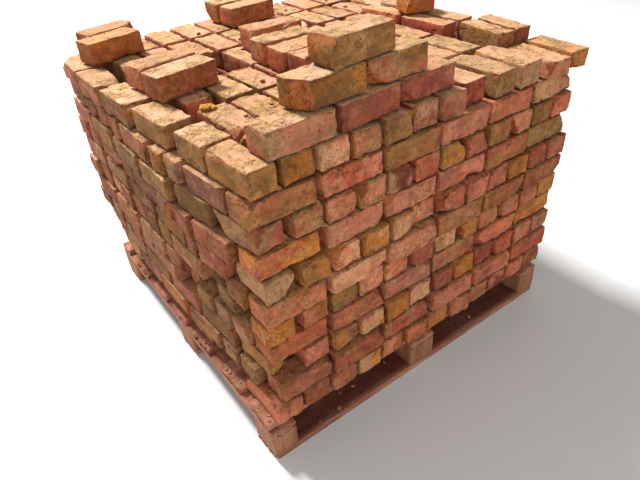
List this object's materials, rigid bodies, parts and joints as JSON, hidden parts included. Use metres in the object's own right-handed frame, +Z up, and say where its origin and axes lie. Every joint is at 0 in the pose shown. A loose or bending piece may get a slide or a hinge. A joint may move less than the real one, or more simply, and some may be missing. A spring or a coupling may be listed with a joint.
{
  "type": "pallet of bricks",
  "caption": "Wooden block pallet stacked with reclaimed clay bricks in square courses, laid header and stretcher in turn, with loose bricks on top.",
  "frame": {"origin": "middle of the pallet's underside, on the floor", "axes": "+Z up, +X along the front face of the pallet to the right, +Y from the front face to the back"},
  "size_m": [1.2929, 1.2823, 1.166],
  "materials": {
    "brick": "rough fired clay with dust and old lime",
    "pallet_wood": "rough sawn softwood with brick dust"
  },
  "bodies": {
    "root": {"block_back_left": "pallet_wood", "block_back_middle": "pallet_wood", "block_back_right": "pallet_wood", "block_centre_left": "pallet_wood", "block_centre_middle": "pallet_wood", "block_centre_right": "pallet_wood", "block_front_left": "pallet_wood", "block_front_middle": "pallet_wood", "block_front_right": "pallet_wood", "bottom_board_back": "pallet_wood", "bottom_board_centre": "pallet_wood", "bottom_board_front": "pallet_wood", "course_01": "brick", "course_02": "brick", "course_03": "brick", "course_04": "brick", "course_05": "brick", "course_06": "brick", "course_07": "brick", "course_08": "brick", "course_09": "brick", "course_10": "brick", "course_11": "brick", "deck_board_1": "pallet_wood", "deck_board_2": "pallet_wood", "deck_board_3": "pallet_wood", "deck_board_4": "pallet_wood", "deck_board_5": "pallet_wood", "deck_board_6": "pallet_wood", "deck_board_7": "pallet_wood", "hidden_core": "brick", "loose_bricks_12": "brick", "loose_bricks_13": "brick", "loose_bricks_14": "brick", "stringer_board_left": "pallet_wood", "stringer_board_middle": "pallet_wood", "stringer_board_right": "pallet_wood"}
  },
  "joints": []
}
